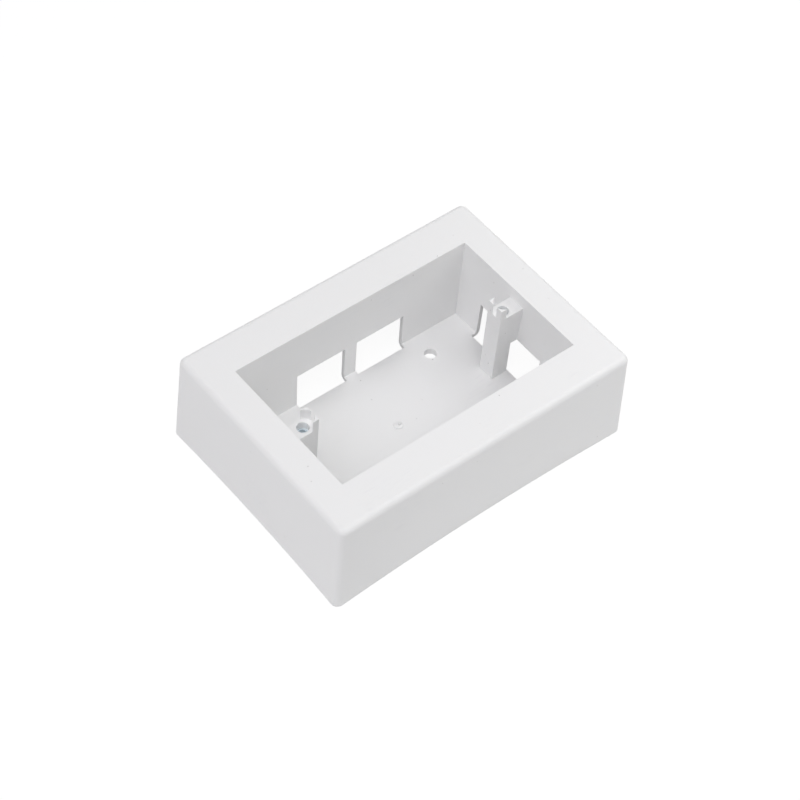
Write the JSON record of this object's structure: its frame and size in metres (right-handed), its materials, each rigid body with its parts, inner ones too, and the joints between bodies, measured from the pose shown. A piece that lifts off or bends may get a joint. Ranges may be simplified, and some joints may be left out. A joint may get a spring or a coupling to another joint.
{
  "type": "rectangular electrical box",
  "caption": "Surface-mount wall box for a wiring device: a flat-faced cover with leaning walls round an open tray with cable windows and screw posts.",
  "frame": {"origin": "middle of the rim that lies against the wall", "axes": "+X along the box, +Y across it, +Z out of the wall through the open face"},
  "size_m": [0.122, 0.088, 0.0377],
  "materials": {
    "white_plastic": "white moulded plastic with a fine satin texture",
    "zinc_steel": "blue zinc-plated steel with a fine thread"
  },
  "bodies": {
    "root": {"moulded_box": "white_plastic", "threaded_bush_left": "zinc_steel", "threaded_bush_right": "zinc_steel"}
  },
  "joints": []
}
